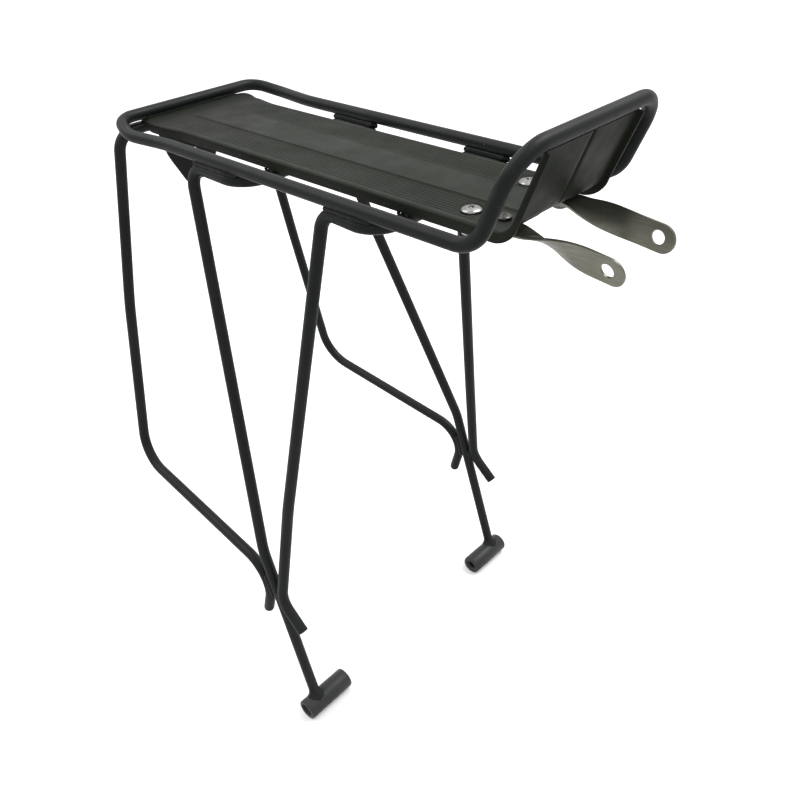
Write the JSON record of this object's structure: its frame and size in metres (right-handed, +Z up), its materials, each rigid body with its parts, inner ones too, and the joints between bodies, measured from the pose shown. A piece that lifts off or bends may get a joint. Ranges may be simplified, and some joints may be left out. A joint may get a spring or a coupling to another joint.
{
  "type": "rear rack",
  "caption": "Rear carrier for a bicycle: bent rod platform around a pressed deck with a raised front stop, splayed rod legs on two feet, and adjustable front stays.",
  "frame": {"origin": "under the middle of the rack, level with the bottom of the feet", "axes": "+X to the front of the bicycle, +Y to its left, +Z up"},
  "size_m": [0.3588, 0.2302, 0.4367],
  "materials": {
    "rod_paint": "satin greenish black paint",
    "deck_paint": "satin olive grey paint",
    "bare_steel": "bare rolled steel strip, lightly brushed",
    "zinc": "bright zinc plating"
  },
  "bodies": {
    "rack": {"platform_loop": "rod_paint", "rear_hoop": "rod_paint", "middle_hoop": "rod_paint", "front_hoop": "rod_paint", "left_foot": "rod_paint", "right_foot": "rod_paint", "reflector_bracket": "rod_paint", "deck_plate": "deck_paint", "left_clamp_plate": "bare_steel", "left_rear_bolt": "zinc", "left_rear_washer": "zinc", "left_rear_nut": "zinc", "left_front_bolt": "zinc", "left_front_nut": "zinc", "right_clamp_plate": "bare_steel", "right_rear_bolt": "zinc", "right_rear_washer": "zinc", "right_rear_nut": "zinc", "right_front_bolt": "zinc", "right_front_nut": "zinc"},
    "stay_left": {"left_stay": "bare_steel"},
    "stay_right": {"right_stay": "bare_steel"}
  },
  "joints": [
    {"name": "left_stay_slide", "type": "slide", "parent": "rack", "child": "stay_left", "axis": [1, 0, 0], "range_m": [0, 0.03]},
    {"name": "right_stay_slide", "type": "slide", "parent": "rack", "child": "stay_right", "axis": [1, 0, 0], "range_m": [0, 0.03]}
  ]
}
